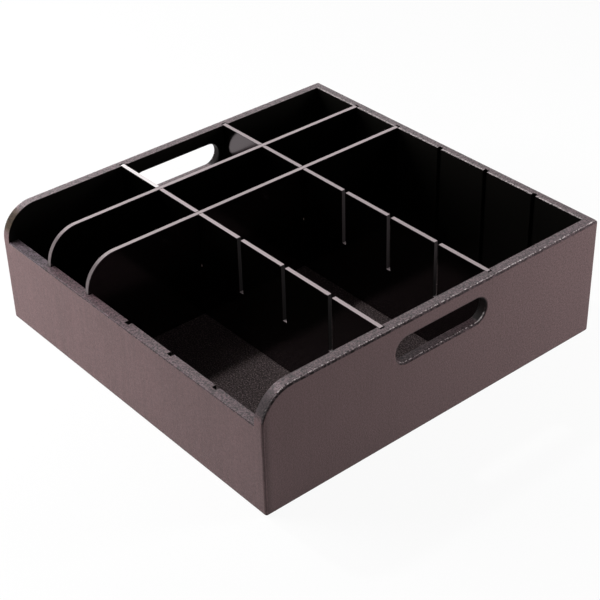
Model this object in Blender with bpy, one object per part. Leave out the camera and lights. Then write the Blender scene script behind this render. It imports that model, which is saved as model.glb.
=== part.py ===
"""Compartment tray with lift-out dividers.

Five boards make an open box with a low front wall and a hand hole in each side wall.
Two cross dividers and two long dividers stand in grooves and are halved together.
Metres, +Z up, +Y towards the back wall, origin on the floor under the middle.
"""

import math

import bmesh
import bpy

# Box
TRAY_WIDTH = 0.351
TRAY_DEPTH = 0.356
SIDE_HEIGHT = 0.110
FRONT_HEIGHT = 0.0805
BOARD_THICKNESS = 0.0095
EDGE_ROUND = 0.0025
FRONT_LIP_ROUND = 0.0012

# Hand holes, measured at mid thickness of the board
HANDLE_LENGTH = 0.0965
HANDLE_HEIGHT = 0.023
HANDLE_BELOW_RIM = 0.026
HANDLE_ROUND = 0.0024

# Seat of the base panel in the walls, and the glued corner joints
SEAT_DEPTH = 0.0045
DOWEL_DIAMETER = 0.005
DOWEL_LENGTH = 0.024
DOWEL_SIDE_DEPTH = 0.0055
DOWEL_CHAMFER = 0.0005
DOWELS_PER_CORNER = 2

# Dividers and their grooves
SHEET_THICKNESS = 0.0040
SHEET_EASE = 0.0002
GROOVE_DEPTH = 0.0036
SLIDING_CLEARANCE = 0.0003
LONG_END_PLAY = 0.0023
CROSS_END_PLAY = 0.0030
HALVING_PLAY = 0.0018
COLUMNS = 6
ROWS = 3
FILLED_COLUMNS = (1, 2)

# Gap between glued or resting faces
SEAT_GAP = 0.0003

# How far a cutter reaches past the face that it opens
CUT_MARGIN = 0.002

# Facets
ROUND_STEPS = 5
CURVE_STEPS = 20
HOLE_END_STEPS = 14
DOWEL_SIDES = 20
SMOOTH_ANGLE = math.radians(28)
HANDLE_ROUND_SWEEP = math.radians(72)

# Colours as red, green, blue, with roughness
BOARD_FINISH = ((0.115, 0.088, 0.086), 0.55)
SHEET_FINISH = ((0.012, 0.011, 0.011), 0.16)
DOWEL_FINISH = ((0.60, 0.45, 0.29), 0.70)

# Faces and centres that follow from the sizes above
HALF_WIDTH = TRAY_WIDTH / 2
HALF_DEPTH = TRAY_DEPTH / 2
INNER_HALF_WIDTH = HALF_WIDTH - BOARD_THICKNESS
INNER_HALF_DEPTH = HALF_DEPTH - BOARD_THICKNESS
CURVE_RADIUS = SIDE_HEIGHT - FRONT_HEIGHT
FLOOR_TOP = BOARD_THICKNESS
DIVIDER_SEAT = FLOOR_TOP + SEAT_GAP
DIVIDER_HEIGHT = SIDE_HEIGHT - DIVIDER_SEAT
HALVING_HEIGHT = DIVIDER_HEIGHT / 2
SLOT_WIDTH = SHEET_THICKNESS + 2 * SLIDING_CLEARANCE
COLUMN_PITCH = (2 * INNER_HALF_WIDTH + SHEET_THICKNESS) / COLUMNS
ROW_PITCH = (2 * INNER_HALF_DEPTH + SHEET_THICKNESS) / ROWS
COLUMN_LINES = [COLUMN_PITCH * (i - COLUMNS / 2) for i in range(1, COLUMNS)]
ROW_LINES = [ROW_PITCH * (i - ROWS / 2) for i in range(1, ROWS)]


def clear_scene():
    """Remove every object."""
    for obj in list(bpy.data.objects):
        bpy.data.objects.remove(obj, do_unlink=True)


def make_material(name, finish):
    """Plain surface with the piece's own colour."""
    colour, roughness = finish
    material = bpy.data.materials.new(name)
    material.use_nodes = True
    shader = material.node_tree.nodes["Principled BSDF"]
    shader.inputs["Base Color"].default_value = (*colour, 1.0)
    shader.inputs["Roughness"].default_value = roughness
    shader.inputs["Metallic"].default_value = 0.0
    return material


def add_object(name, shape, location=(0.0, 0.0, 0.0), parent=None):
    """Turn a finished bmesh into a named object."""
    bmesh.ops.recalc_face_normals(shape, faces=shape.faces)
    mesh = bpy.data.meshes.new(name)
    shape.to_mesh(mesh)
    shape.free()
    mesh.shade_smooth()
    mesh.set_sharp_from_angle(angle=SMOOTH_ANGLE)
    obj = bpy.data.objects.new(name, mesh)
    bpy.context.scene.collection.objects.link(obj)
    obj.location = location
    obj.parent = parent
    return obj


def add_piece(name, shape, finish, location=(0.0, 0.0, 0.0), parent=None):
    """A real piece of the tray, with its own material."""
    obj = add_object(name, shape, location, parent)
    obj.data.materials.append(make_material(name, finish))
    return obj


def add_cutter(name, shape):
    """A shape that only removes material."""
    obj = add_object(name, shape)
    obj.hide_render = True
    obj.display_type = "WIRE"
    return obj


def cut(obj, cutter):
    """Subtract a cutter from a piece."""
    modifier = obj.modifiers.new(cutter.name, "BOOLEAN")
    modifier.operation = "DIFFERENCE"
    modifier.solver = "EXACT"
    modifier.object = cutter


def ease_edges(obj, width):
    """Break the sharp edges of a sawn sheet."""
    modifier = obj.modifiers.new("eased_edges", "BEVEL")
    modifier.width = width
    modifier.segments = 1
    modifier.limit_method = "ANGLE"
    modifier.angle_limit = math.radians(40)


def add_box(shape, low, high):
    """Add a box between two corners to a bmesh."""
    verts = bmesh.ops.create_cube(shape, size=1.0)["verts"]
    size = [high[i] - low[i] for i in range(3)]
    middle = [(high[i] + low[i]) / 2 for i in range(3)]
    bmesh.ops.scale(shape, vec=size, verts=verts)
    bmesh.ops.translate(shape, vec=middle, verts=verts)


def add_rod_along_x(shape, centre, radius, length, sides):
    """Add a cylinder whose axis runs along X to a bmesh."""
    verts = bmesh.ops.create_cone(
        shape, cap_ends=True, segments=sides, radius1=radius, radius2=radius, depth=length
    )["verts"]
    turn = ((0.0, 0.0, 1.0), (0.0, 1.0, 0.0), (-1.0, 0.0, 0.0))
    for vert in verts:
        vert.co = [sum(turn[i][j] * vert.co[j] for j in range(3)) for i in range(3)]
    bmesh.ops.translate(shape, vec=centre, verts=verts)


def arc(centre, radius, start, end, steps):
    """Points on an arc from start to end, in degrees."""
    points = []
    for i in range(steps + 1):
        angle = math.radians(start + (end - start) * i / steps)
        points.append((centre[0] + radius * math.cos(angle), centre[1] + radius * math.sin(angle)))
    return points


def loft_along_x(rings):
    """Skin closed (x, outline) rings in the YZ plane and cap both ends."""
    shape = bmesh.new()
    loops = [[shape.verts.new((x, y, z)) for y, z in outline] for x, outline in rings]
    count = len(loops[0])
    for near, far in zip(loops, loops[1:]):
        for i in range(count):
            j = (i + 1) % count
            shape.faces.new((near[i], near[j], far[j], far[i]))
    shape.faces.new(loops[0])
    shape.faces.new(loops[-1])
    bmesh.ops.remove_doubles(shape, verts=shape.verts, dist=1e-6)
    return shape


def extrude_outline(outline, thickness, across):
    """Plate of even thickness from an outline, with its thickness along X or Y."""
    shape = bmesh.new()
    half = thickness / 2
    if across == "X":
        verts = [shape.verts.new((-half, u, z)) for u, z in outline]
        step = (thickness, 0.0, 0.0)
    else:
        verts = [shape.verts.new((u, -half, z)) for u, z in outline]
        step = (0.0, thickness, 0.0)
    face = shape.faces.new(verts)
    grown = bmesh.ops.extrude_face_region(shape, geom=[face])["geom"]
    moved = [item for item in grown if isinstance(item, bmesh.types.BMVert)]
    bmesh.ops.translate(shape, vec=step, verts=moved)
    return shape


def side_wall_outline(inset):
    """Side wall seen from the side, drawn in by inset: square but for the curved top front."""
    r = EDGE_ROUND
    low, high = r, SIDE_HEIGHT - r
    front, back = r - HALF_DEPTH, HALF_DEPTH - r
    curve_centre = (CURVE_RADIUS - HALF_DEPTH, SIDE_HEIGHT - CURVE_RADIUS)
    outline = arc((front, low), r - inset, 180, 270, ROUND_STEPS)
    outline += arc((back, low), r - inset, 270, 360, ROUND_STEPS)
    outline += arc((back, high), r - inset, 0, 90, ROUND_STEPS)
    outline += arc(curve_centre, CURVE_RADIUS - inset, 90, 180, CURVE_STEPS)
    return outline


def build_side_wall(name, side):
    """Side wall, rounded over all round its outer face; side is -1 or 1."""
    rings = [(side * INNER_HALF_WIDTH, side_wall_outline(0.0))]
    for i in range(ROUND_STEPS + 1):
        angle = math.pi / 2 * i / ROUND_STEPS
        x = HALF_WIDTH - EDGE_ROUND * (1 - math.sin(angle))
        inset = EDGE_ROUND * (1 - math.cos(angle))
        rings.append((side * x, side_wall_outline(inset)))
    return add_piece(name, loft_along_x(rings), BOARD_FINISH)


def build_end_wall(name, facing, height, lip_round):
    """Front or back wall between the side walls; facing is -1 at the front and 1 at the back."""
    outer, inner = HALF_DEPTH, INNER_HALF_DEPTH
    section = [(inner, 0.0)]
    section += arc((outer - EDGE_ROUND, EDGE_ROUND), EDGE_ROUND, 270, 360, ROUND_STEPS)
    section += arc((outer - lip_round, height - lip_round), lip_round, 0, 90, ROUND_STEPS)
    section += [(inner, height)]
    outline = [(facing * y, z) for y, z in section]
    reach = INNER_HALF_WIDTH - SEAT_GAP
    return add_piece(name, loft_along_x([(-reach, outline), (reach, outline)]), BOARD_FINISH)


def build_base_panel():
    """Flat base that sits in the rebate of all four walls."""
    shape = bmesh.new()
    reach_x = INNER_HALF_WIDTH + SEAT_DEPTH - SEAT_GAP
    reach_y = INNER_HALF_DEPTH + SEAT_DEPTH - SEAT_GAP
    add_box(shape, (-reach_x, -reach_y, 0.0), (reach_x, reach_y, FLOOR_TOP))
    return add_piece("base_panel", shape, BOARD_FINISH)


def build_seat_cutter():
    """Rebate round the foot of the walls for the base panel."""
    shape = bmesh.new()
    reach_x = INNER_HALF_WIDTH + SEAT_DEPTH
    reach_y = INNER_HALF_DEPTH + SEAT_DEPTH
    add_box(shape, (-reach_x, -reach_y, -CUT_MARGIN), (reach_x, reach_y, FLOOR_TOP + SEAT_GAP))
    return add_cutter("cut_base_seat", shape)


def groove_spans(inner):
    """Where a groove lies behind the wall faces at -inner and inner."""
    deep = inner + GROOVE_DEPTH
    clear = inner - CUT_MARGIN
    return ((-deep, -clear), (clear, deep))


def build_groove_cutters():
    """Upright grooves in the end walls for long dividers and in the side walls for cross dividers."""
    half = SLOT_WIDTH / 2
    low, high = FLOOR_TOP / 2, SIDE_HEIGHT + CUT_MARGIN
    long_grooves = bmesh.new()
    for x in COLUMN_LINES:
        for start, end in groove_spans(INNER_HALF_DEPTH):
            add_box(long_grooves, (x - half, start, low), (x + half, end, high))
    cross_grooves = bmesh.new()
    for y in ROW_LINES:
        for start, end in groove_spans(INNER_HALF_WIDTH):
            add_box(cross_grooves, (start, y - half, low), (end, y + half, high))
    return add_cutter("cut_long_grooves", long_grooves), add_cutter("cut_cross_grooves", cross_grooves)


def hand_hole_outline(growth):
    """Slot with round ends, seen from the side, enlarged all round by growth."""
    middle_z = SIDE_HEIGHT - HANDLE_BELOW_RIM
    reach = (HANDLE_LENGTH - HANDLE_HEIGHT) / 2
    radius = HANDLE_HEIGHT / 2 + growth
    outline = arc((reach, middle_z), radius, -90, 90, HOLE_END_STEPS)
    outline += arc((-reach, middle_z), radius, 90, 270, HOLE_END_STEPS)
    return outline


def hand_hole_flare():
    """Depth below the board's face and growth of the hole, from the open air to the bore."""
    tangent = math.tan(HANDLE_ROUND_SWEEP)
    sweep_growth = HANDLE_ROUND * (1 - math.cos(HANDLE_ROUND_SWEEP))
    sweep_depth = HANDLE_ROUND * (1 - math.sin(HANDLE_ROUND_SWEEP))
    outside = sweep_growth + (sweep_depth + HANDLE_ROUND) * tangent
    flare = [(-HANDLE_ROUND, outside)]
    for i in range(ROUND_STEPS, -1, -1):
        angle = HANDLE_ROUND_SWEEP * i / ROUND_STEPS
        flare.append((HANDLE_ROUND * (1 - math.sin(angle)), HANDLE_ROUND * (1 - math.cos(angle))))
    return flare


def build_hand_hole_cutter(name, side):
    """Hand hole through a side wall, rounded over at both faces."""
    flare = hand_hole_flare()
    rings = [(side * (HALF_WIDTH - depth), hand_hole_outline(growth)) for depth, growth in flare]
    rings += [
        (side * (INNER_HALF_WIDTH + depth), hand_hole_outline(growth)) for depth, growth in reversed(flare)
    ]
    return add_cutter(name, loft_along_x(rings))


def dowel_places():
    """Name and centre of every dowel: at each corner, spread up the height of the end wall."""
    length_inside = DOWEL_LENGTH - DOWEL_SIDE_DEPTH
    centre_x = INNER_HALF_WIDTH + DOWEL_SIDE_DEPTH - (DOWEL_SIDE_DEPTH + length_inside) / 2
    centre_y = HALF_DEPTH - BOARD_THICKNESS / 2
    places = []
    for end, facing, height in (("front", -1, FRONT_HEIGHT), ("back", 1, SIDE_HEIGHT)):
        pitch = (height - FLOOR_TOP) / DOWELS_PER_CORNER
        for hand, side in (("left", -1), ("right", 1)):
            for i in range(DOWELS_PER_CORNER):
                z = FLOOR_TOP + pitch * (i + 0.5)
                places.append((f"dowel_{end}_{hand}_{i + 1}", (side * centre_x, facing * centre_y, z)))
    return places


def build_dowel_hole_cutter():
    """Blind holes that the dowels fill, half in the side walls and half in the end walls."""
    shape = bmesh.new()
    for _, centre in dowel_places():
        add_rod_along_x(
            shape, centre, DOWEL_DIAMETER / 2 + SEAT_GAP, DOWEL_LENGTH + 2 * SEAT_GAP, DOWEL_SIDES
        )
    return add_cutter("cut_dowel_holes", shape)


def build_dowels():
    """Wooden dowels with broken ends."""
    for name, centre in dowel_places():
        shape = bmesh.new()
        add_rod_along_x(shape, (0.0, 0.0, 0.0), DOWEL_DIAMETER / 2, DOWEL_LENGTH, DOWEL_SIDES)
        ease_edges(add_piece(name, shape, DOWEL_FINISH, centre), DOWEL_CHAMFER)


def slotted_top(start, end, top, floor, lines):
    """Top edge from end back to start, with a slot down to floor at each line."""
    half = SLOT_WIDTH / 2
    points = [(end, top)]
    for line in sorted(lines, reverse=True):
        points += [(line + half, top), (line + half, floor), (line - half, floor), (line - half, top)]
    points.append((start, top))
    return points


def cross_divider_outline():
    """Sheet seen from the front: slots from the top edge at every column line."""
    reach = INNER_HALF_WIDTH + GROOVE_DEPTH - CROSS_END_PLAY / 2
    slot_floor = HALVING_HEIGHT - SEAT_GAP / 2 - HALVING_PLAY
    outline = [(-reach, 0.0), (reach, 0.0)]
    outline += slotted_top(-reach, reach, DIVIDER_HEIGHT, slot_floor, COLUMN_LINES)
    return outline


def long_divider_outline():
    """Sheet seen from the side: curved top front, and slots from below over the cross dividers."""
    front = SEAT_GAP - INNER_HALF_DEPTH - GROOVE_DEPTH
    back = INNER_HALF_DEPTH + GROOVE_DEPTH - (LONG_END_PLAY - SEAT_GAP)
    half = SLOT_WIDTH / 2
    slot_top = HALVING_HEIGHT + SEAT_GAP / 2
    outline = [(front, 0.0)]
    for line in ROW_LINES:
        outline += [(line - half, 0.0), (line - half, slot_top), (line + half, slot_top), (line + half, 0.0)]
    outline += [(back, 0.0), (back, DIVIDER_HEIGHT)]
    curve_centre = (front + CURVE_RADIUS, DIVIDER_HEIGHT - CURVE_RADIUS)
    outline += arc(curve_centre, CURVE_RADIUS, 90, 180, CURVE_STEPS)
    return outline


def build_dividers():
    """Cross dividers first, then the long dividers that drop over them."""
    for name, y in zip(("cross_divider_front", "cross_divider_rear"), ROW_LINES):
        shape = extrude_outline(cross_divider_outline(), SHEET_THICKNESS, "Y")
        ease_edges(add_piece(name, shape, SHEET_FINISH, (0.0, y, DIVIDER_SEAT)), SHEET_EASE)
    for number, column in enumerate(FILLED_COLUMNS, start=1):
        x = COLUMN_LINES[column - 1]
        shape = extrude_outline(long_divider_outline(), SHEET_THICKNESS, "X")
        ease_edges(add_piece(f"long_divider_{number}", shape, SHEET_FINISH, (x, 0.0, DIVIDER_SEAT)), SHEET_EASE)


def build_box():
    """The five boards with their grooves, hand holes, rebates and dowel holes."""
    seat = build_seat_cutter()
    long_grooves, cross_grooves = build_groove_cutters()
    dowel_holes = build_dowel_hole_cutter()
    build_base_panel()
    front_wall = build_end_wall("front_wall", -1, FRONT_HEIGHT, FRONT_LIP_ROUND)
    back_wall = build_end_wall("back_wall", 1, SIDE_HEIGHT, EDGE_ROUND)
    for wall in (front_wall, back_wall):
        cut(wall, seat)
        cut(wall, long_grooves)
        cut(wall, dowel_holes)
    for hand, side in (("left", -1), ("right", 1)):
        wall = build_side_wall(f"side_wall_{hand}", side)
        cut(wall, seat)
        cut(wall, cross_grooves)
        cut(wall, build_hand_hole_cutter(f"cut_hand_hole_{hand}", side))
        cut(wall, dowel_holes)


def main():
    """Build the whole tray."""
    clear_scene()
    build_box()
    build_dowels()
    build_dividers()


if __name__ == "__main__":
    main()
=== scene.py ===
"""Looks of the compartment tray: coated boards, gloss dividers, wooden dowels, stage and camera.

Metres, +Z up, +Y towards the high back wall, origin on the floor under the middle of the tray.
"""

import math

import bmesh
import bpy
from bpy.props import FloatProperty, FloatVectorProperty, PointerProperty
from mathutils import Matrix, Vector


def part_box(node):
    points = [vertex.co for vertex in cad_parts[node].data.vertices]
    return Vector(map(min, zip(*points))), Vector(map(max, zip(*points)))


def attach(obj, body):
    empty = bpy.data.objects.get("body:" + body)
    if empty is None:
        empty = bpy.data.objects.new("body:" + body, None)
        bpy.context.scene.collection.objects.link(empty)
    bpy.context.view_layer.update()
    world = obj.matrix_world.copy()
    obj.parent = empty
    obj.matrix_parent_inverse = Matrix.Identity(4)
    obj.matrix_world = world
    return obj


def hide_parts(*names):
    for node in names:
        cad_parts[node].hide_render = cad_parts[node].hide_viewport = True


bl_info = {
    "name": "Compartment Tray Looks",
    "version": (1, 0, 0),
    "blender": (4, 5, 0),
    "location": "3D View > Sidebar > Tray",
    "description": "Dresses the packed compartment tray and sets its stage",
    "category": "Object",
}

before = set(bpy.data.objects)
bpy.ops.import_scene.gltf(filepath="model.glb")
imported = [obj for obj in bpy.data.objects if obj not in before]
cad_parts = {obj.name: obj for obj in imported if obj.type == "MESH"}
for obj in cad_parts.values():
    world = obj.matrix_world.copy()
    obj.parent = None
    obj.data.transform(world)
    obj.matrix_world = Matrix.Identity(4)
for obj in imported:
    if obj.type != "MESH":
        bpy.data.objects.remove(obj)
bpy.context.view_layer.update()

# Faces and centres read from the frame
HALF_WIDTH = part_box("side_wall_right")[1].x
HALF_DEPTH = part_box("side_wall_right")[1].y
INNER_HALF_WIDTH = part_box("side_wall_right")[0].x
INNER_HALF_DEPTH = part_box("back_wall")[0].y
SIDE_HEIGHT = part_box("side_wall_right")[1].z
FRONT_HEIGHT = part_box("front_wall")[1].z
FLOOR_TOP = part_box("base_panel")[1].z
CURVE_RADIUS = SIDE_HEIGHT - FRONT_HEIGHT
FIRST_LONG, SECOND_LONG = (sum(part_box(f"long_divider_{i}"), Vector()) / 2 for i in (1, 2))
SHEET_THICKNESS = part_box("long_divider_1")[1].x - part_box("long_divider_1")[0].x
COLUMN_PITCH = SECOND_LONG.x - FIRST_LONG.x
COLUMNS = round((2 * INNER_HALF_WIDTH + SHEET_THICKNESS) / COLUMN_PITCH)
COLUMN_LINES = [FIRST_LONG.x + COLUMN_PITCH * i for i in range(COLUMNS - 1)]
ROW_LINES = [(sum(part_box(f"cross_divider_{row}"), Vector()) / 2).y for row in ("front", "rear")]

# Facets and shading of the visible boards
ROUND_STEPS = 8
CURVE_STEPS = 40
HOLE_END_STEPS = 28
ARRIS_STEPS = 3
SMOOTH_ANGLE = math.radians(30)
SHARP_ANGLE = math.radians(40)
RIM_FACES_UP = 0.7

# Margins in metres: how far a cutter stands out of its board, and how close counts as the same place
CUT_MARGIN = 0.002
NEAR = 0.0001
SAME_POINT = 1e-6

# Where the coat changes over the tray, in metres of the frame: start and end of each smooth step
FRONT_TO_REAR = (-0.10, 0.15)
LEFT_TO_RIGHT = (-0.10, 0.10)
PAST_HOLE = (0.051, 0.054)
ABOVE_HOLE = (SIDE_HEIGHT - 0.010, SIDE_HEIGHT - 0.008)
OFF_CURVE = (CURVE_RADIUS - HALF_DEPTH - 0.0005, CURVE_RADIUS - HALF_DEPTH + 0.0035)
OFF_LEFT_END = (0.0505 - HALF_WIDTH, 0.0755 - HALF_WIDTH)

# The same, measured from the front face and from the back wall's inner face
OFF_CORNER = (0.001, 0.008)
OFF_INNER_LINE = (0.0014, 0.0022)

# Painted highlight: the nearly white cut edge of the front cross divider, measured from the middle of a
# divider
OFF_FIRST_LONG = (-0.003, -0.002)
OFF_FRONT_CROSS = (0.003, 0.004)

# Width in metres over which the coat changes where two boards meet
SEAM = 0.0002

# The way a surface faces where the coat changes: 0 is square to up, out, down or front, and 1 is along it
RIM_UP = (0.12, 0.45)
END_FACE_OUT = (0.30, 0.80)
ARRIS_OUT = ((0.14, 0.28), (0.46, 0.60))
# Facing of the painted highlights along the arrises
HIGHLIGHT_UP = (0.10, 0.30)
HIGHLIGHT_UP_BY_HOLE = (-0.25, 0.15)
# Facing of the painted shade beside the arrises, on the lips, at the front corners and underneath
SIDE_EDGE_OUT = (0.58, 0.72)
SIDE_EDGE_UP = (0.10, 0.28)
LIP_OUT = ((0.35, 0.50), (0.80, 0.92))
LIP_UP = (0.05, 0.25)
CORNER_OUT = (0.96, 1.00)
UNDERSIDE_DOWN = (0.05, 0.50)
# Facing of the painted shade on the curves
CURVE_FRONT = ((0.40, 0.70), (0.90, 0.99))
CURVE_UP = (0.08, 0.25)
# Facing of the painted highlight on a spot of the right curve
CURVE_HIGHLIGHT_FRONT = ((0.15, 0.32), (0.38, 0.56))
# Facing of the painted shade in the hand holes
BORE_OUT = (0.45, 0.85)
HOLE_END_OUT = (0.72, 0.96)
HOLE_END_FRONT = (0.10, 0.45)
# Facing of the painted highlight at the right hand hole's rear end
GLINT_OUT = ((0.10, 0.25), (0.55, 0.75))
GLINT_UP = (0.25, 0.45)
GLINT_FRONT = ((0.15, 0.35), (0.80, 0.95))

# The same for the cut edges of the sheets, whose faces look along their flat axis
FACE_FLAT = (0.05, 0.25)
# Facing over which the cut edges come out of painted shade as they turn to look up
CUT_UP = (0.65, 1.02)
# Facing of the long dividers' curved front, where the cut edge takes painted shade
DIP_FRONT = ((0.06, 0.16), (0.42, 0.62))

# How strongly the marks in the coat show, from 0 to 1
# Painted shade on the curves and the right rim, and a painted highlight on a spot of the right curve
CURVE_SHADE = 0.68
CURVE_HIGHLIGHT = 0.55
RIGHT_RIM_SHADE = 0.14
# Painted shade on the back rim
BACK_RIM_SHADE = 0.16
# Painted highlights along the outer arrises, at the right hand hole's rear end and on the back rim's inner
# edge
HIGHLIGHT_LINE = 0.60
HIGHLIGHT_REAR_GAIN = 0.04
HIGHLIGHT_HOLE_LOSS = 0.30
HOLE_GLINT = 0.80
INNER_LINE = 0.30
# Painted shade on the lips, front corners, undersides and left curve
DARK_LIP = 0.58
DARK_CORNER = 0.40
DARK_UNDERSIDE = 0.75
DARK_LEFT_CURVE = 0.35

# Width of the patterns in metres, and how the streaks are drawn out upwards
STREAK_WIDTH = 0.0030
STREAK_STRETCH = (1.0, 1.0, 0.035)
LUMP_SIZE = 0.0034
COAT_CLOUD = 0.060
PEEL_SIZE = 0.004
LINING_CLOUD = 0.080
FLOOR_CLOUD = 0.050
SMUDGE_SIZE = 0.030
SAW_MARK = 0.0011
EDGE_CLOUD = 0.025

# Spans of a noise from 0 to 1 over which the speckle, the lumps, the floor's flecks and the pores come up
SPECKLE_SPAN = (0.38, 0.62)
LUMP_SPAN = (0.42, 0.58)
FLECK_SPAN = (0.46, 0.70)
PORE_SPAN = (0.55, 0.75)

# Height of the patterns in metres
PEEL_HEIGHT = 0.00003
SAW_HEIGHT = 0.00003
WOOD_HEIGHT = 0.00006

# Height of the grain on the rims, as a multiple of the setting called grain height
RIM_RELIEF = 2.2

# Materials of the divider sheets, with the values that sheet_material explains
SHEETS = {
    "gloss_sheet_long": {
        "nodes": ("long_divider_1", "long_divider_2"),
        "flat_axis": 0,
        "upright_shade_levels": (0.25, 0.25),
        "paler_span": (-0.060, 0.140),
    },
    "gloss_sheet_cross": {
        "nodes": ("cross_divider_front", "cross_divider_rear"),
        "flat_axis": 1,
        "upright_shade_levels": (0.02, 0.07),
        "paler_span": (0.020, -0.020),
    },
}

# Beech: width in metres, detail, roughness and stretch of its grain and pores, then its colours
WOOD_GRAIN = (0.0012, 3.0, 0.6, (0.06, 1.0, 1.0))
WOOD_PORES = (0.0005, 2.0, 0.5, (0.12, 1.0, 1.0))
WOOD_TONES = ((0.25, (0.42, 0.28, 0.16)), (0.55, (0.60, 0.44, 0.28)), (0.80, (0.70, 0.55, 0.38)))
PORE_COLOUR = (0.30, 0.18, 0.10)

# Floor of the stage: half its side and its speck in metres, its colour, and how white it looks by itself
FLOOR_HALF_SIZE = 6.0
FLOOR_SPECK = 0.004
FLOOR_COLOUR = (0.86, 0.86, 0.86)
FLOOR_WHITENESS = 0.93
WHITE = (1.0, 1.0, 1.0, 1.0)

# Lamps, whose powers are settings of the stage: place and size in metres, and whether gloss reflects them
LAMPS = {
    "key": ((-1.15, -0.27, 1.48), 0.12, True),
    "front": ((-0.66, -0.69, 0.36), 0.6, False),
    "left": ((-1.80, 0.30, 0.60), 1.0, True),
    "rear": ((-1.60, 1.50, 0.75), 1.0, True),
    "side": ((0.60, 0.60, 0.30), 0.3, False),
}


class TrayBoards(bpy.types.PropertyGroup):
    """Sizes of the boards that the frame's boxes don't give."""

    edge_radius: FloatProperty(
        name="Edge radius",
        description="Round-over of the outer edges",
        default=0.0025,
        min=0.0005,
        unit="LENGTH",
    )
    lip_radius: FloatProperty(
        name="Lip radius",
        description="Round-over of the front wall's outer top edge",
        default=0.0012,
        min=0.0002,
        unit="LENGTH",
    )
    inner_ease: FloatProperty(
        name="Inner ease",
        description="Width of the broken arris along the inner edges and grooves",
        default=0.0005,
        min=0.0001,
        unit="LENGTH",
    )
    sliding_clearance: FloatProperty(
        name="Sliding clearance",
        description="Free play of a divider on each side of its groove",
        default=0.0003,
        min=0.0,
        unit="LENGTH",
    )
    groove_depth: FloatProperty(
        name="Groove depth",
        description="Depth of the grooves in the inner faces",
        default=0.0036,
        min=0.001,
        unit="LENGTH",
    )
    seat_gap: FloatProperty(
        name="Seat gap",
        description="Gap between the base panel and its rebate",
        default=0.0003,
        min=0.0,
        unit="LENGTH",
    )
    hole_length: FloatProperty(
        name="Hand hole length",
        description="Length of a hand hole at mid thickness",
        default=0.0965,
        min=0.05,
        unit="LENGTH",
    )
    hole_height: FloatProperty(
        name="Hand hole height",
        description="Height of a hand hole at mid thickness",
        default=0.023,
        min=0.01,
        unit="LENGTH",
    )
    hole_below_rim: FloatProperty(
        name="Hand hole below rim",
        description="From the rim of the side wall down to the middle of the hand hole",
        default=0.026,
        min=0.015,
        unit="LENGTH",
    )
    hole_radius: FloatProperty(
        name="Hand hole round-over",
        description="Round-over of the hand hole at both faces",
        default=0.0024,
        min=0.0002,
        unit="LENGTH",
    )


class TrayCoat(bpy.types.PropertyGroup):
    """Finish of the sprayed boards, with the colours of their painted shade and highlights."""

    face_colour: FloatVectorProperty(
        name="Face colour",
        description="Brown-black coat on the outer faces",
        subtype="COLOR",
        size=3,
        min=0.0,
        max=1.0,
        default=(0.0930, 0.0575, 0.0590),
    )
    rim_colour: FloatVectorProperty(
        name="Rim colour",
        description="Coat on the rims and in the hand holes, greyer and rougher",
        subtype="COLOR",
        size=3,
        min=0.0,
        max=1.0,
        default=(0.0755, 0.0445, 0.0515),
    )
    # Painted shade: the dark line beside the outer arrises, on the lips, front corners, undersides and left
    # curve, and in the hand holes
    edge_colour: FloatVectorProperty(
        name="Edge colour",
        description="Dull dark line along the outer edges, and in the right hand hole",
        subtype="COLOR",
        size=3,
        min=0.0,
        max=1.0,
        default=(0.006, 0.0045, 0.0045),
    )
    grey_colour: FloatVectorProperty(
        name="Grey colour",
        description="Greyer coat at the left end of the front wall's rim",
        subtype="COLOR",
        size=3,
        min=0.0,
        max=1.0,
        default=(0.080, 0.060, 0.071),
    )
    # Painted shade: the browner, darker coat on the curve of the left side wall
    curve_shade_colour: FloatVectorProperty(
        name="Dusk colour",
        description="Browner coat on the curve of the left side wall",
        subtype="COLOR",
        size=3,
        min=0.0,
        max=1.0,
        default=(0.083, 0.045, 0.017),
    )
    # Painted highlight: the pale coat along the side walls' outer arrises, at the right hand hole's rear
    # end and inside the back rim
    highlight_colour: FloatVectorProperty(
        name="Worn colour",
        description="Rubbed, paler coat along the side walls' outer arrises and inside the back rim",
        subtype="COLOR",
        size=3,
        min=0.0,
        max=1.0,
        default=(0.64, 0.575, 0.575),
    )
    lining_colour: FloatVectorProperty(
        name="Lining colour",
        description="Smooth black inside the box",
        subtype="COLOR",
        size=3,
        min=0.0,
        max=1.0,
        default=(0.0025, 0.0023, 0.0020),
    )
    floor_colour: FloatVectorProperty(
        name="Floor colour",
        description="Pebbled black of the base panel",
        subtype="COLOR",
        size=3,
        min=0.0,
        max=1.0,
        default=(0.130, 0.101, 0.102),
    )
    grain: FloatProperty(
        name="Grain",
        description="Width of the coat's grain",
        default=0.0015,
        min=0.0002,
        unit="LENGTH",
    )
    grain_height: FloatProperty(
        name="Grain height",
        description="Unit height of the coat's grain; faces and rims show multiples of it",
        default=0.00018,
        min=0.0,
        unit="LENGTH",
    )


class TraySheets(bpy.types.PropertyGroup):
    """Finish of the divider sheets, with the colour of a painted highlight on one cut edge."""

    face_colour: FloatVectorProperty(
        name="Face colour",
        description="Gloss black of the divider faces",
        subtype="COLOR",
        size=3,
        min=0.0,
        max=1.0,
        default=(0.0004, 0.0004, 0.0003),
    )
    gloss_tint: FloatVectorProperty(
        name="Gloss tint",
        description="Tint of the reflections in the divider faces",
        subtype="COLOR",
        size=3,
        min=0.0,
        max=1.0,
        default=(1.0, 0.80, 0.86),
    )
    edge_colour: FloatVectorProperty(
        name="Edge colour",
        description="Pale satin of the cut edges",
        subtype="COLOR",
        size=3,
        min=0.0,
        max=1.0,
        default=(0.350, 0.290, 0.300),
    )
    # Painted highlight: the nearly white cut edge at the left end of the front cross divider
    edge_highlight_colour: FloatVectorProperty(
        name="Bare colour",
        description="Nearly white cut edge at the left end of the front cross divider",
        subtype="COLOR",
        size=3,
        min=0.0,
        max=1.0,
        default=(0.655, 0.615, 0.615),
    )


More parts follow.
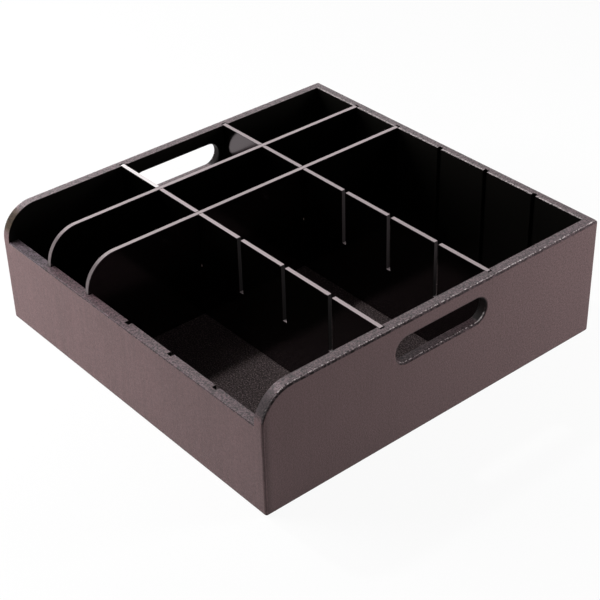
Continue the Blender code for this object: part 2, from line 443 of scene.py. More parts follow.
class TrayStage(bpy.types.PropertyGroup):
    """Camera, light and floor."""

    camera_place: FloatVectorProperty(
        name="Camera place",
        description="Where the camera stands",
        subtype="TRANSLATION",
        unit="LENGTH",
        size=3,
        default=(0.8370, -0.6825, 0.7548),
    )
    camera_yaw: FloatProperty(
        name="Camera yaw",
        description="Turn of the camera to the left of +Y",
        subtype="ANGLE",
        default=math.radians(50.6534),
    )
    camera_pitch: FloatProperty(
        name="Camera pitch",
        description="Tilt of the camera below the horizon",
        subtype="ANGLE",
        default=math.radians(34.0838),
    )
    camera_roll: FloatProperty(
        name="Camera roll",
        description="Roll of the camera about its line of sight",
        subtype="ANGLE",
        default=math.radians(-1.6354),
    )
    lens: FloatProperty(
        name="Lens",
        description="Focal length on a 36 mm sensor, in millimetres",
        default=90.77,
        min=10.0,
    )
    key_power: FloatProperty(
        name="Key power",
        description="Power of the lamp high on the left, in watts",
        default=13.6,
        min=0.0,
    )
    front_power: FloatProperty(
        name="Front power",
        description="Power of the lamp low in front on the left, in watts",
        default=16.6,
        min=0.0,
    )
    left_power: FloatProperty(
        name="Left power",
        description="Power of the wide lamp low on the left, in watts",
        default=9.2,
        min=0.0,
    )
    rear_power: FloatProperty(
        name="Rear power",
        description="Power of the wide lamp low behind on the left, in watts",
        default=3.6,
        min=0.0,
    )
    side_power: FloatProperty(
        name="Side power",
        description="Power of the low lamp behind on the right, in watts",
        default=6.4,
        min=0.0,
    )


class Signal:
    """An output socket of a shader node. Arithmetic on it adds Math nodes."""

    def __init__(self, shader, socket):
        self.shader = shader
        self.socket = socket

    def __add__(self, other):
        return self.shader.maths("ADD", self, other)

    def __radd__(self, other):
        return self.shader.maths("ADD", other, self)

    def __sub__(self, other):
        return self.shader.maths("SUBTRACT", self, other)

    def __rsub__(self, other):
        return self.shader.maths("SUBTRACT", other, self)

    def __mul__(self, other):
        return self.shader.maths("MULTIPLY", self, other)

    def __rmul__(self, other):
        return self.shader.maths("MULTIPLY", other, self)

    def __abs__(self):
        return self.shader.maths("ABSOLUTE", self)


class Shader:
    """The node tree of a material or world, emptied and built up node by node."""

    def __init__(self, owner):
        owner.use_nodes = True
        self.tree = owner.node_tree
        self.tree.nodes.clear()

    def node(self, kind, settings=None, inputs=None):
        """Add a node: its settings first, then the values or links of its sockets."""
        made = self.tree.nodes.new(kind)
        for name, value in (settings or {}).items():
            if name == "stops":
                self.set_stops(made.color_ramp, value)
            else:
                setattr(made, name, value)
        for name, value in (inputs or {}).items():
            if isinstance(value, Signal):
                self.tree.links.new(value.socket, made.inputs[name])
            else:
                made.inputs[name].default_value = value
        return made

    def get(self, kind, output=0, settings=None, inputs=None):
        """Add a node and return one of its outputs."""
        return Signal(self, self.node(kind, settings, inputs).outputs[output])

    @staticmethod
    def set_stops(ramp, stops):
        """Give a colour ramp its (position, colour) stops."""
        while len(ramp.elements) > 1:
            ramp.elements.remove(ramp.elements[-1])
        for i, (position, colour) in enumerate(stops):
            element = ramp.elements[0] if i == 0 else ramp.elements.new(position)
            element.position = position
            element.color = (*colour, 1.0)

    def maths(self, operation, *values):
        """A Math node on numbers or signals."""
        return self.get("ShaderNodeMath", 0, {"operation": operation}, dict(enumerate(values)))

    def largest(self, first, *others):
        """The largest of several values."""
        for other in others:
            first = self.maths("MAXIMUM", first, other)
        return first

    def fade(self, value, start, end):
        """0 at start, 1 at end, smooth between them and level beyond; start may be the larger."""
        return self.get(
            "ShaderNodeMapRange",
            0,
            {"interpolation_type": "SMOOTHSTEP"},
            {"Value": value, "From Min": start, "From Max": end},
        )

    def drop(self, value, start, end):
        """The opposite of fade: 1 at start and 0 at end."""
        return 1.0 - self.fade(value, start, end)

    def band(self, value, rise, fall):
        """1 between two (start, end) pairs, over which it rises from 0 and falls to 0 again."""
        return self.fade(value, *rise) * self.drop(value, *fall)

    def blend(self, first, second, factor):
        """Colour between first and second."""
        inputs = {0: factor, 6: self.colour(first), 7: self.colour(second)}
        return self.get("ShaderNodeMix", 2, {"data_type": "RGBA"}, inputs)

    def tint(self, colour, level):
        """A colour made lighter or darker by a signal around 1."""
        inputs = {0: colour if isinstance(colour, Signal) else tuple(colour), "Scale": level}
        return self.get("ShaderNodeVectorMath", 0, {"operation": "SCALE"}, inputs)

    @staticmethod
    def colour(value):
        """A colour socket's value: a signal, or red, green and blue with alpha added."""
        return value if isinstance(value, Signal) else (*value, 1.0)

    def place(self, stretch=(1.0, 1.0, 1.0)):
        """Position on the piece in metres, stretched per axis."""
        where = self.get("ShaderNodeTexCoord", "Object")
        if stretch == (1.0, 1.0, 1.0):
            return where
        return self.get("ShaderNodeVectorMath", 0, {"operation": "MULTIPLY"}, {0: where, 1: stretch})

    def noise(self, size, detail=2.0, roughness=0.5, stretch=(1.0, 1.0, 1.0)):
        """Soft noise whose features are about size metres across, from 0 to 1."""
        inputs = {
            "Vector": self.place(stretch),
            "Scale": 1.0 / size,
            "Detail": detail,
            "Roughness": roughness,
        }
        return self.get("ShaderNodeTexNoise", 0, None, inputs)

    def pebbles(self, size):
        """Rounded pebbles about size metres across: 0 in their middles."""
        inputs = {"Vector": self.place(), "Scale": 1.0 / size, "Smoothness": 0.6}
        return self.get("ShaderNodeTexVoronoi", 0, {"feature": "SMOOTH_F1"}, inputs)

    def facing(self, output="Normal"):
        """The surface direction as x, y and z signals."""
        normal = self.get("ShaderNodeNewGeometry", output)
        parts = self.node("ShaderNodeSeparateXYZ", None, {0: normal})
        return [Signal(self, socket) for socket in parts.outputs]

    def where(self):
        """The place on the piece as x, y and z signals."""
        parts = self.node("ShaderNodeSeparateXYZ", None, {0: self.place()})
        return [Signal(self, socket) for socket in parts.outputs]

    def bump(self, height, distance):
        """Surface direction disturbed by a height signal, full height at distance metres."""
        inputs = {"Strength": 1.0, "Distance": distance, "Height": height}
        return self.get("ShaderNodeBump", 0, None, inputs)

    def surface(self, inputs):
        """Principled surface with these sockets."""
        return self.get("ShaderNodeBsdfPrincipled", 0, None, inputs)

    def mix(self, first, second, factor):
        """Surface between first and second."""
        return self.get("ShaderNodeMixShader", 0, None, {0: factor, 1: first, 2: second})

    def finish(self, surface):
        """Make a surface the material's output."""
        self.node("ShaderNodeOutputMaterial", None, {"Surface": surface})


def new_material(name):
    """An empty material and the shader that fills it."""
    material = bpy.data.materials.new(name)
    return material, Shader(material)


class Spot:
    """Where a point of the coated boards lies and which way it faces, as signals."""

    def __init__(self, shader):
        self.x, self.y, self.z = shader.facing()
        self.place_x, self.place_y, self.place_z = shader.where()
        self.out_x = self.x * shader.maths("SIGN", self.place_x)
        self.out_y = self.y * shader.maths("SIGN", self.place_y)
        self.forward = 0.0 - self.y

        self.rearward = shader.fade(self.place_y, *FRONT_TO_REAR)
        self.on_right = shader.fade(self.place_x, *LEFT_TO_RIGHT)
        self.on_end_wall = shader.drop(abs(self.place_x), INNER_HALF_WIDTH - SEAM, INNER_HALF_WIDTH)
        self.on_side_wall = 1.0 - self.on_end_wall
        self.on_curve = self.on_side_wall * shader.drop(self.place_y, *OFF_CURVE)
        self.by_hole = shader.drop(abs(self.place_y), *PAST_HOLE) * shader.drop(self.place_z, *ABOVE_HOLE)

        self.rim = shader.fade(self.z, *RIM_UP)
        self.arris = shader.band(self.out_x, *ARRIS_OUT)
        self.right_bore = self.by_hole * self.on_right * shader.drop(abs(self.x), *BORE_OUT)
        facing_front = shader.band(self.forward, *CURVE_FRONT)
        self.turned = self.on_curve * facing_front * shader.fade(self.z, *CURVE_UP)
        # Painted shade on the left side wall's curve
        self.left_curve_shade = self.turned * (1.0 - self.on_right)

        # Painted highlight: pale line along the inner edge of the back wall's rim
        from_inside = self.place_y - INNER_HALF_DEPTH
        self.inner_line = self.on_end_wall * shader.band(from_inside, (-SEAM, 0.0), OFF_INNER_LINE)


def painted_light_and_shade(shader, spot):
    """Level of the coat: painted shade on the curves and right rim, a painted highlight on the right curve.
    """
    curve_highlight = spot.on_curve * spot.on_right * shader.band(spot.forward, *CURVE_HIGHLIGHT_FRONT)
    right_rim = spot.rim * spot.on_right * spot.on_side_wall
    on_curves = (1.0 - CURVE_SHADE * spot.turned) * (1.0 + CURVE_HIGHLIGHT * curve_highlight)
    return on_curves * (1.0 - RIGHT_RIM_SHADE * right_rim)


def painted_highlights(shader, spot, speckle, lumps):
    """Painted highlights on the coat: outer arrises, rear end of the right hand hole and inner edge of the
    back rim.
    """
    uphill_by_hole = spot.by_hole * shader.fade(spot.z, *HIGHLIGHT_UP_BY_HOLE)
    uphill = shader.largest(shader.fade(spot.z, *HIGHLIGHT_UP), uphill_by_hole)
    outline = spot.arris * uphill * (HIGHLIGHT_LINE + HIGHLIGHT_REAR_GAIN * spot.rearward)
    patches = shader.largest(speckle * (0.45 + 1.10 * lumps), 0.16 * spot.rearward)
    hole_end = shader.band(spot.forward, *GLINT_FRONT) * shader.fade(spot.z, *GLINT_UP)
    glint = spot.by_hole * spot.on_right * hole_end * shader.band(spot.out_x, *GLINT_OUT)
    highlight_mask = outline * (1.0 - HIGHLIGHT_HOLE_LOSS * spot.by_hole) * patches
    return shader.largest(highlight_mask, HOLE_GLINT * glint, INNER_LINE * spot.inner_line)


def painted_shade(shader, spot, lumps):
    """Painted shade: beside the pale arrises, on the lips, front corners and left curve, and underneath."""
    beside_arris = shader.fade(spot.out_x, *SIDE_EDGE_OUT) * shader.fade(spot.z, *SIDE_EDGE_UP)
    side_edge = beside_arris * (1.0 - 0.50 * spot.rearward) * (0.50 + 0.50 * lumps)
    lip = spot.on_end_wall * shader.band(spot.out_y, *LIP_OUT) * shader.fade(spot.z, *LIP_UP)
    corner = shader.drop(spot.place_y + HALF_DEPTH, *OFF_CORNER) * shader.fade(spot.out_x, *CORNER_OUT)
    under = shader.fade(0.0 - spot.z, *UNDERSIDE_DOWN)
    marks = (DARK_LIP * lip, DARK_CORNER * corner, DARK_UNDERSIDE * under, DARK_LEFT_CURVE * spot.left_curve_shade)
    return shader.largest(side_edge, *marks)


def painted_hole_shade(shader, spot, speckle):
    """Painted shade in the right hand hole, and at the rear end of both hand holes, which faces the front.
    """
    faces_front = shader.drop(abs(spot.x), *HOLE_END_OUT) * shader.fade(spot.forward, *HOLE_END_FRONT)
    bore_end = spot.by_hole * faces_front
    return shader.largest(spot.right_bore * (1.08 - 0.90 * speckle), bore_end)


def rim_tone(shader, spot, coat, highlight_mask):
    """Colour of the rims before their speckle, from place to place: greyer, browner or darker with painted
    shade, paler with painted highlights.
    """
    on_front_wall = spot.on_end_wall * (1.0 - spot.rearward)
    on_back_wall = spot.on_end_wall * spot.rearward
    grey_end = on_front_wall * shader.drop(spot.place_x, *OFF_LEFT_END)
    curve_shaded = shader.blend(coat.rim_colour, coat.curve_shade_colour, spot.left_curve_shade)
    highlighted = shader.blend(shader.blend(curve_shaded, coat.grey_colour, grey_end), coat.highlight_colour, highlight_mask)
    # Painted shade: the back rim is darker, but for its pale inner line
    return shader.tint(highlighted, 1.0 - BACK_RIM_SHADE * on_back_wall * (1.0 - spot.inner_line))


def coat_material(coat):
    """Sprayed coat outside: fine and streaked on the faces, coarse and grey on the rims, with painted shade
    and highlights.
    """
    material, shader = new_material("sprayed_coat")
    spot = Spot(shader)
    end_face = shader.fade(abs(spot.y), *END_FACE_OUT)
    stripes = shader.noise(STREAK_WIDTH, 3.0, 0.6, STREAK_STRETCH)
    streaks = 0.5 + (stripes - 0.5) * (0.35 + 0.65 * end_face)
    grain = shader.noise(coat.grain, 4.0, 0.72)
    cloud = shader.noise(COAT_CLOUD)
    lumps = shader.fade(shader.noise(LUMP_SIZE, 2.0, 0.6), *LUMP_SPAN)
    sparkle = shader.fade(grain, *SPECKLE_SPAN)
    calm = 0.6 * spot.right_bore * (1.0 - spot.arris)
    speckle = sparkle + calm * (0.5 - sparkle)
    # Painted shade on the curves and the right rim, and a painted highlight on a spot of the right curve
    shade = painted_light_and_shade(shader, spot)
    # Painted highlights on the arrises, at the right hand hole's rear end and along the back rim's inner
    # edge
    highlight_mask = painted_highlights(shader, spot, speckle, lumps)

    # The exported model keeps only the first surface's roughness and relief, so they include the rim's
    rim_roughness = 0.46 - 0.18 * speckle
    roughness = (0.44 + 0.10 * streaks) * (1.0 - spot.rim) + rim_roughness * spot.rim
    relief = (1.40 * grain + 0.15 * streaks) * (1.0 - spot.rim) + RIM_RELIEF * grain * spot.rim
    mottling = 0.50 * streaks + 0.16 * cloud + 1.40 * grain + 1.2 * spot.rearward * (grain - 0.5)
    face = shader.surface(
        {
            "Base Color": shader.tint(coat.face_colour, mottling * shade),
            "Roughness": roughness,
            "IOR": 1.5,
            "Specular IOR Level": 0.15,
            "Normal": shader.bump(relief, coat.grain_height),
        }
    )
    top = shader.surface(
        {
            "Base Color": shader.tint(rim_tone(shader, spot, coat, highlight_mask), (0.18 + 1.64 * speckle) * shade),
            "Roughness": rim_roughness,
            "IOR": 1.5,
            "Specular IOR Level": 0.40,
            "Normal": shader.bump(grain, RIM_RELIEF * coat.grain_height),
        }
    )
    # Painted shade: dark coat mixed in beside the arrises, on the lips, front corners, undersides and left
    # curve, and in the hand holes
    shade_surface = shader.surface(
        {
            "Base Color": shader.tint(coat.edge_colour, 0.4 + 1.2 * grain),
            "Roughness": 0.60,
            "IOR": 1.5,
            "Specular IOR Level": 0.10,
        }
    )
    # Painted shade in the hand holes, kept off the painted highlights
    hole_shade = painted_hole_shade(shader, spot, speckle) * (1.0 - highlight_mask)
    dark = shader.largest(painted_shade(shader, spot, lumps), hole_shade)
    shader.finish(shader.mix(shader.mix(face, top, spot.rim), shade_surface, dark))
    return material


def board_materials(coat):
    """Coat and lining, which all four walls share."""
    made = bpy.data.materials
    outside = made.get("sprayed_coat") or coat_material(coat)
    inside = made.get("black_lining") or lining_material(coat)
    return outside, inside


def lining_material(coat):
    """Smooth black inner faces with a faint orange peel."""
    material, shader = new_material("black_lining")
    peel = shader.noise(PEEL_SIZE)
    cloud = shader.noise(LINING_CLOUD)
    inside = shader.surface(
        {
            "Base Color": shader.tint(coat.lining_colour, 0.7 + 0.6 * cloud),
            "Roughness": 0.28 + 0.12 * peel,
            "IOR": 1.45,
            "Specular IOR Level": 0.18,
            "Normal": shader.bump(peel, PEEL_HEIGHT),
        }
    )
    shader.finish(inside)
    return material


def floor_material(coat):
    """Pebbled black coat of the base panel."""
    material, shader = new_material("pebbled_floor")
    pebbles = shader.pebbles(1.3 * coat.grain)
    grain = shader.noise(0.8 * coat.grain, 3.0, 0.65)
    cloud = shader.noise(FLOOR_CLOUD)
    level = 0.20 + 0.3 * cloud + 1.9 * shader.fade(grain, *FLECK_SPAN)
    panel = shader.surface(
        {
            "Base Color": shader.tint(coat.floor_colour, level),
            "Roughness": 0.34 + 0.20 * grain,
            "IOR": 1.5,
            "Specular IOR Level": 0.05,
            "Normal": shader.bump(1.2 * grain - pebbles, 2.0 * coat.grain_height),
        }
    )
    shader.finish(panel)
    return material


def sheet_material(sheets, name, flat_axis, upright_shade_levels, paler_span):
    """Gloss black sheet whose faces look along flat_axis, with pale satin cut edges.

    Cut edges that look up are palest. Over paler_span, a start and an end along Y, all cut edges turn
    paler, and upright ones go from the second of upright_shade_levels down to the first.
    """
    material, shader = new_material(name)
    direction = shader.facing("True Normal")
    place_x, place_y = shader.where()[:2]
    cut = shader.drop(abs(direction[flat_axis]), *FACE_FLAT)
    smudge = shader.noise(SMUDGE_SIZE, 3.0, 0.6)
    saw = shader.noise(SAW_MARK)
    cloud = shader.noise(EDGE_CLOUD)

    # Painted highlight on the front cross divider's cut edge, left of the first long divider
    left_of_long = shader.drop(place_x - FIRST_LONG.x, *OFF_FIRST_LONG)
    edge_highlight = left_of_long * shader.drop(abs(place_y - ROW_LINES[0]), *OFF_FRONT_CROSS)
    paler = shader.fade(place_y, *paler_span)
    cut_colour = shader.blend(sheets.edge_colour, sheets.edge_highlight_colour, edge_highlight)
    pale = shader.tint(cut_colour, 0.83 + 0.16 * cloud + 0.10 * saw + 0.18 * paler)

    # Painted shade: upright cut edges and the long dividers' curved fronts are darker than edges that look
    # up
    level_top = shader.fade(abs(direction[2]), *CUT_UP)
    upward = level_top * level_top
    least, most = upright_shade_levels
    upright = shader.largest(least, most * (1.0 - paler))
    dip_shade = shader.band(0.0 - direction[1], *DIP_FRONT)
    level = (upright + (1.0 - upright) * upward) * (1.0 - 0.24 * dip_shade)

    # The exported model keeps only the first surface's roughness and relief, so they include the cut edges'
    gloss = shader.surface(
        {
            "Base Color": shader.tint(sheets.face_colour, 0.8 + 0.4 * smudge),
            "Roughness": 0.11 + 0.05 * smudge + 0.40 * cut,
            "IOR": 1.75,
            "Specular Tint": (*sheets.gloss_tint, 1.0),
            "Normal": shader.bump(saw * cut + 0.2 * smudge, SAW_HEIGHT),
        }
    )
    satin = shader.surface(
        {
            "Base Color": shader.tint(pale, level),
            "Roughness": 0.75 - 0.30 * upward + 0.10 * saw,
            "IOR": 1.5,
            "Specular IOR Level": 0.40,
            "Normal": shader.bump(saw, SAW_HEIGHT),
        }
    )
    shader.finish(shader.mix(gloss, satin, cut))
    return material


def wood_material():
    """Bare beech with its grain along the dowel."""
    material, shader = new_material("beech")
    grain = shader.noise(*WOOD_GRAIN)
    pores = shader.fade(shader.noise(*WOOD_PORES), *PORE_SPAN)
    tone = shader.get("ShaderNodeValToRGB", 0, {"stops": WOOD_TONES}, {0: grain})
    wood = shader.surface(
        {
            "Base Color": shader.blend(tone, PORE_COLOUR, 0.5 * pores),
            "Roughness": 0.62 + 0.15 * pores,
            "Normal": shader.bump(grain - 0.5 * pores, WOOD_HEIGHT),
        }
    )
    shader.finish(wood)
    return material


def floor_stage_material():
    """Pale floor that looks white and keeps the tray's shadow."""
    material, shader = new_material("pale_floor")
    speck = shader.noise(FLOOR_SPECK)
    pale = shader.tint(FLOOR_COLOUR, 0.98 + 0.04 * speck)
    lit = shader.get("ShaderNodeBsdfDiffuse", 0, None, {"Color": pale})
    white = shader.get("ShaderNodeEmission", 0, None, {"Color": WHITE, "Strength": 1.0})
    shader.finish(shader.mix(lit, white, FLOOR_WHITENESS * seen_directly(shader)))
    return material


def seen_directly(shader):
    """1 for rays from the camera, from a gloss and through glass."""
    rays = shader.node("ShaderNodeLightPath")
    kinds = ("Is Camera Ray", "Is Glossy Ray", "Is Transmission Ray")
    return shader.largest(*(Signal(shader, rays.outputs[kind]) for kind in kinds))


def arc(centre, radius, start, end, steps):
    """Points on an arc from start to end, in degrees."""
    points = []
    for i in range(steps + 1):
        angle = math.radians(start + (end - start) * i / steps)
        points.append((centre[0] + radius * math.cos(angle), centre[1] + radius * math.sin(angle)))
    return points


def loft_along_x(rings):
    """Skin closed (x, outline) rings in the YZ plane and cap both ends."""
    shape = bmesh.new()
    loops = [[shape.verts.new((x, y, z)) for y, z in outline] for x, outline in rings]
    count = len(loops[0])
    for near, far in zip(loops, loops[1:]):
        for i in range(count):
            j = (i + 1) % count
            shape.faces.new((near[i], near[j], far[j], far[i]))
    shape.faces.new(loops[0])
    shape.faces.new(loops[-1])
    bmesh.ops.remove_doubles(shape, verts=shape.verts, dist=SAME_POINT)
    bmesh.ops.recalc_face_normals(shape, faces=shape.faces)
    return shape


def add_box(shape, low, high):
    """Add a box between two corners to a bmesh."""
    verts = bmesh.ops.create_cube(shape, size=1.0)["verts"]
    size = [high[i] - low[i] for i in range(3)]
    middle = [(high[i] + low[i]) / 2 for i in range(3)]
    bmesh.ops.scale(shape, vec=size, verts=verts)
    bmesh.ops.translate(shape, vec=middle, verts=verts)


def new_object(name, shape):
    """Turn a bmesh into an object in the scene."""
    mesh = bpy.data.meshes.new(name)
    shape.to_mesh(mesh)
    shape.free()
    made = bpy.data.objects.new(name, mesh)
    bpy.context.scene.collection.objects.link(made)
    return made


def carve(board, shapes):
    """Cut shapes out of a board and keep the result as the board's own mesh."""
    cutters = [new_object(f"{board.name}_cutter", shape) for shape in shapes]
    for cutter in cutters:
        modifier = board.modifiers.new(cutter.name, "BOOLEAN")
        modifier.operation = "DIFFERENCE"
        modifier.solver = "EXACT"
        modifier.object = cutter
    depsgraph = bpy.context.evaluated_depsgraph_get()
    carved = bpy.data.meshes.new_from_object(board.evaluated_get(depsgraph))
    board.modifiers.clear()
    board.data = carved
    for cutter in cutters:
        bpy.data.objects.remove(cutter)


def round_edges(board, chosen, radius, steps):
    """Round the sharp edges whose two ends are both chosen."""
    shape = bmesh.new()
    shape.from_mesh(board.data)
    edges = [
        edge
        for edge in shape.edges
        if edge.calc_face_angle(0.0) > SHARP_ANGLE and all(chosen(vert.co) for vert in edge.verts)
    ]
    bmesh.ops.bevel(
        shape,
        geom=edges,
        offset=radius,
        offset_type="OFFSET",
        segments=steps,
        profile=0.5,
        affect="EDGES",
        clamp_overlap=True,
    )
    shape.to_mesh(board.data)
    shape.free()


def dress_board(board, node, materials, is_lining):
    """Smooth shading, materials by face, and the place of the board in the frame."""
    for material in materials:
        board.data.materials.append(material)
    for face in board.data.polygons:
        face.material_index = 1 if is_lining(face.center, face.normal) else 0
    board.data.shade_smooth()
    board.data.set_sharp_from_angle(angle=SMOOTH_ANGLE)
    flatten = board.modifiers.new("flat_faces", "WEIGHTED_NORMAL")
    flatten.keep_sharp = True
    flatten.weight = 100
    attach(board, "tray")
    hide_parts(node)


def seat_shape(boards):
    """Rebate round the foot of the walls for the base panel."""
    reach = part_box("base_panel")[1]
    gap = boards.seat_gap
    shape = bmesh.new()
    low = (-reach.x - gap, -reach.y - gap, -CUT_MARGIN)
    high = (reach.x + gap, reach.y + gap, reach.z + gap)
    add_box(shape, low, high)
    return shape


def groove_shape(boards, lines, across, side, face):
    """Upright grooves at lines along X or Y, cut outwards from the inner face on one side."""
    half = SHEET_THICKNESS / 2 + boards.sliding_clearance
    spans = sorted((side * (face - CUT_MARGIN), side * (face + boards.groove_depth)))
    low_z, high_z = FLOOR_TOP / 2, SIDE_HEIGHT + CUT_MARGIN
    shape = bmesh.new()
    for line in lines:
        if across == "X":
            add_box(shape, (line - half, spans[0], low_z), (line + half, spans[1], high_z))
        else:
            add_box(shape, (spans[0], line - half, low_z), (spans[1], line + half, high_z))
    return shape


def side_wall_outline(boards, inset):
    """Side wall seen from the side, drawn in by inset: square but for the curved top front."""
    r = boards.edge_radius
    low, high = r, SIDE_HEIGHT - r
    front, back = r - HALF_DEPTH, HALF_DEPTH - r
    curve_centre = (CURVE_RADIUS - HALF_DEPTH, SIDE_HEIGHT - CURVE_RADIUS)
    outline = arc((front, low), r - inset, 180, 270, ROUND_STEPS)
    outline += arc((back, low), r - inset, 270, 360, ROUND_STEPS)
    outline += arc((back, high), r - inset, 0, 90, ROUND_STEPS)
    outline += arc(curve_centre, CURVE_RADIUS - inset, 90, 180, CURVE_STEPS)
    return outline


def hand_hole_shape(boards, side):
    """Straight slot with round ends through a side wall."""
    middle_z = SIDE_HEIGHT - boards.hole_below_rim
    reach = (boards.hole_length - boards.hole_height) / 2
    radius = boards.hole_height / 2
    outline = arc((reach, middle_z), radius, -90, 90, HOLE_END_STEPS)
    outline += arc((-reach, middle_z), radius, 90, 270, HOLE_END_STEPS)
    ends = (side * (INNER_HALF_WIDTH - CUT_MARGIN), side * (HALF_WIDTH + CUT_MARGIN))
    return loft_along_x([(x, outline) for x in ends])


def build_side_wall(boards, name, side):
    """Side wall, rounded over all round its outer face; side is -1 on the left and 1 on the right."""
    r = boards.edge_radius
    rings = [(side * INNER_HALF_WIDTH, side_wall_outline(boards, 0.0))]
    for i in range(ROUND_STEPS + 1):
        angle = math.pi / 2 * i / ROUND_STEPS
        x = HALF_WIDTH - r * (1 - math.sin(angle))
        rings.append((side * x, side_wall_outline(boards, r * (1 - math.cos(angle)))))
    board = new_object(name, loft_along_x(rings))
    grooves = groove_shape(boards, ROW_LINES, "Y", side, INNER_HALF_WIDTH)
    carve(board, [seat_shape(boards), grooves, hand_hole_shape(boards, side)])

    middle_z = SIDE_HEIGHT - boards.hole_below_rim
    half_length = boards.hole_length / 2 + NEAR
    half_height = boards.hole_height / 2 + NEAR

    def on_hand_hole(point):
        return abs(point.y) < half_length and abs(point.z - middle_z) < half_height

    def on_inner_edge(point):
        inside = abs(point.x) < INNER_HALF_WIDTH + boards.groove_depth + NEAR
        clear = point.z > FLOOR_TOP + CUT_MARGIN
        open_front = point.y < 0 and point.z > FRONT_HEIGHT + NEAR
        return inside and clear and (abs(point.y) < INNER_HALF_DEPTH + NEAR or open_front)

    round_edges(board, on_hand_hole, boards.hole_radius, ROUND_STEPS)
    round_edges(board, on_inner_edge, boards.inner_ease, ARRIS_STEPS)
    return board


def build_end_wall(boards, name, facing, height, lip_radius):
    """Front or back wall between the side walls; facing is -1 at the front and 1 at the back."""
    outer, inner, r = HALF_DEPTH, INNER_HALF_DEPTH, boards.edge_radius
    section = [(inner, 0.0)]
    section += arc((outer - r, r), r, 270, 360, ROUND_STEPS)
    section += arc((outer - lip_radius, height - lip_radius), lip_radius, 0, 90, ROUND_STEPS)
    section += [(inner, height)]
    outline = [(facing * y, z) for y, z in section]
    rings = [(-INNER_HALF_WIDTH, outline), (INNER_HALF_WIDTH, outline)]
    board = new_object(name, loft_along_x(rings))
    grooves = groove_shape(boards, COLUMN_LINES, "X", facing, INNER_HALF_DEPTH)
    carve(board, [seat_shape(boards), grooves])

    def on_inner_edge(point):
        inside = abs(point.y) < INNER_HALF_DEPTH + boards.groove_depth + NEAR
        return inside and point.z > FLOOR_TOP + CUT_MARGIN

    round_edges(board, on_inner_edge, boards.inner_ease, ARRIS_STEPS)
    return board


def soft_light(name, place, size, power, in_gloss):
    """Square soft light that looks at the middle of the tray; in_gloss: glossy surfaces reflect it."""
    lamp = bpy.data.lights.new(name, "AREA")
    lamp.shape = "SQUARE"
    lamp.size = size
    lamp.energy = power
    made = bpy.data.objects.new(name, lamp)
    bpy.context.scene.collection.objects.link(made)
    made.location = place
    aim = Vector((0.0, 0.0, SIDE_HEIGHT / 2)) - Vector(place)
    made.rotation_euler = aim.to_track_quat("-Z", "Y").to_euler()
    made.visible_glossy = in_gloss


class TRAY_OT_side_walls(bpy.types.Operator):
    """Model the two side walls with their hand holes and grooves"""

    bl_idname = "tray.side_walls"
    bl_label = "Side Walls"

    def execute(self, context):
        boards = context.scene.tray_boards
        materials = board_materials(context.scene.tray_coat)
        depth = INNER_HALF_WIDTH + boards.groove_depth + NEAR

        def is_lining(centre, normal):
            between_end_walls = abs(centre.y) < INNER_HALF_DEPTH + NEAR
            return abs(centre.x) < depth and between_end_walls and normal.z < RIM_FACES_UP

        for hand, side in (("left", -1), ("right", 1)):
            board = build_side_wall(boards, f"coated_side_wall_{hand}", side)
            dress_board(board, f"side_wall_{hand}", materials, is_lining)
        return {"FINISHED"}


class TRAY_OT_end_walls(bpy.types.Operator):
    """Model the low front wall and the high back wall with their grooves"""

    bl_idname = "tray.end_walls"
    bl_label = "Front and Back Walls"

    def execute(self, context):
        boards = context.scene.tray_boards
        materials = board_materials(context.scene.tray_coat)
        depth = INNER_HALF_DEPTH + boards.groove_depth + NEAR
        walls = (
            ("front_wall", -1, FRONT_HEIGHT, boards.lip_radius),
            ("back_wall", 1, SIDE_HEIGHT, boards.edge_radius),
        )

        def is_lining(centre, normal):
            return abs(centre.y) < depth and normal.z < RIM_FACES_UP

        for node, facing, height, lip_radius in walls:
            board = build_end_wall(boards, f"coated_{node}", facing, height, lip_radius)
            dress_board(board, node, materials, is_lining)
        return {"FINISHED"}


class TRAY_OT_base_panel(bpy.types.Operator):
    """Give the base panel its pebbled black coat"""

    bl_idname = "tray.base_panel"
    bl_label = "Base Panel"

    def execute(self, context):
        material = floor_material(context.scene.tray_coat)
        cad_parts["base_panel"].material_slots[0].material = material
        return {"FINISHED"}


class TRAY_OT_dividers(bpy.types.Operator):
    """Give the divider sheets their gloss faces and pale cut edges"""

    bl_idname = "tray.dividers"
    bl_label = "Dividers"

    def execute(self, context):
        sheets = context.scene.tray_sheets
        for name, kind in SHEETS.items():
            levels, span = kind["upright_shade_levels"], kind["paler_span"]
            material = sheet_material(sheets, name, kind["flat_axis"], levels, span)
            for node in kind["nodes"]:
                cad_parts[node].material_slots[0].material = material
        return {"FINISHED"}


class TRAY_OT_dowels(bpy.types.Operator):
    """Give the corner dowels their beech"""

    bl_idname = "tray.dowels"
    bl_label = "Dowels"

    def execute(self, context):
        material = wood_material()
        for name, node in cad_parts.items():
            if name.startswith("dowel_"):
                node.material_slots[0].material = material
        return {"FINISHED"}


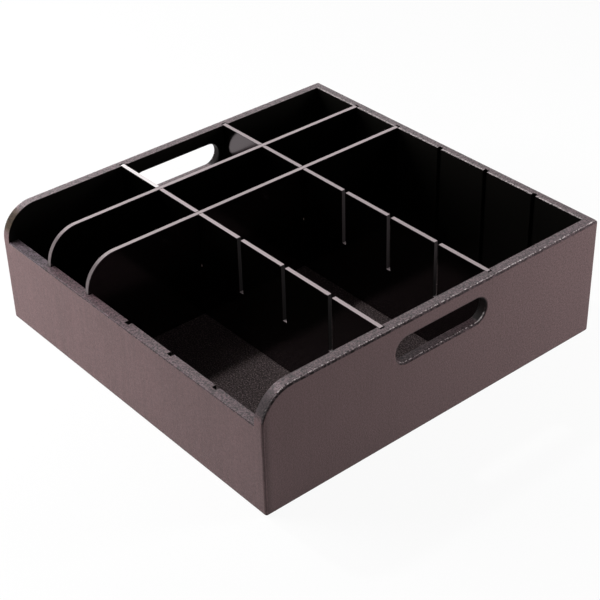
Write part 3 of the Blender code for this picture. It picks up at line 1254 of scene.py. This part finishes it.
class TRAY_OT_stage(bpy.types.Operator):
    """Set up the pale floor, the soft lights, the sky and the camera"""

    bl_idname = "tray.stage"
    bl_label = "Stage"

    def execute(self, context):
        stage = context.scene.tray_stage
        self.add_floor()
        self.set_sky(context.scene)
        for name, (place, size, in_gloss) in LAMPS.items():
            soft_light(f"{name}_light", place, size, getattr(stage, f"{name}_power"), in_gloss)
        self.add_camera(context.scene, stage)
        context.scene.view_settings.view_transform = "Standard"
        return {"FINISHED"}

    @staticmethod
    def add_floor():
        """Wide flat floor under the tray."""
        shape = bmesh.new()
        bmesh.ops.create_grid(shape, x_segments=1, y_segments=1, size=FLOOR_HALF_SIZE)
        floor = new_object("stage_floor", shape)
        floor.data.materials.append(floor_stage_material())

    @staticmethod
    def set_sky(scene):
        """White where it is seen directly, and no light on the tray."""
        scene.world = scene.world or bpy.data.worlds.new("sky")
        shader = Shader(scene.world)
        inputs = {"Color": WHITE, "Strength": seen_directly(shader)}
        light = shader.get("ShaderNodeBackground", 0, None, inputs)
        shader.node("ShaderNodeOutputWorld", None, {"Surface": light})

    @staticmethod
    def add_camera(scene, stage):
        """Camera at the photographed angle."""
        lens = bpy.data.cameras.new("camera")
        lens.sensor_width = 36.0
        lens.lens = stage.lens
        lens.clip_start = 0.05
        lens.clip_end = 50.0
        camera = bpy.data.objects.new("camera", lens)
        scene.collection.objects.link(camera)
        turn = Matrix.Rotation(stage.camera_yaw, 4, "Z")
        tilt = Matrix.Rotation(math.pi / 2 - stage.camera_pitch, 4, "X")
        roll = Matrix.Rotation(stage.camera_roll, 4, "Z")
        camera.matrix_world = Matrix.Translation(stage.camera_place) @ turn @ tilt @ roll
        scene.camera = camera


class TRAY_PT_looks(bpy.types.Panel):
    """Lists the tray's settings and its building steps"""

    bl_idname = "TRAY_PT_looks"
    bl_label = "Compartment Tray"
    bl_space_type = "VIEW_3D"
    bl_region_type = "UI"
    bl_category = "Tray"

    def draw(self, context):
        for group in SETTINGS:
            box = self.layout.box()
            box.label(text=group.replace("_", " ").capitalize())
            settings = getattr(context.scene, group)
            for name in settings.__annotations__:
                box.prop(settings, name)
        for step in STEPS:
            self.layout.operator(step.bl_idname)


SETTINGS = {
    "tray_boards": TrayBoards,
    "tray_coat": TrayCoat,
    "tray_sheets": TraySheets,
    "tray_stage": TrayStage,
}
STEPS = (
    TRAY_OT_side_walls,
    TRAY_OT_end_walls,
    TRAY_OT_base_panel,
    TRAY_OT_dividers,
    TRAY_OT_dowels,
    TRAY_OT_stage,
)
CLASSES = (*SETTINGS.values(), *STEPS, TRAY_PT_looks)


def register():
    """Register the classes and hang their settings on the scene."""
    for item in CLASSES:
        bpy.utils.register_class(item)
    for name, group in SETTINGS.items():
        setattr(bpy.types.Scene, name, PointerProperty(type=group))


def unregister():
    """Take everything that register added away again."""
    for name in SETTINGS:
        delattr(bpy.types.Scene, name)
    for item in reversed(CLASSES):
        bpy.utils.unregister_class(item)


def main():
    """Dress the tray step by step."""
    register()
    bpy.ops.tray.side_walls()
    bpy.ops.tray.end_walls()
    bpy.ops.tray.base_panel()
    bpy.ops.tray.dividers()
    bpy.ops.tray.dowels()
    bpy.ops.tray.stage()


if __name__ == "__main__":
    main()
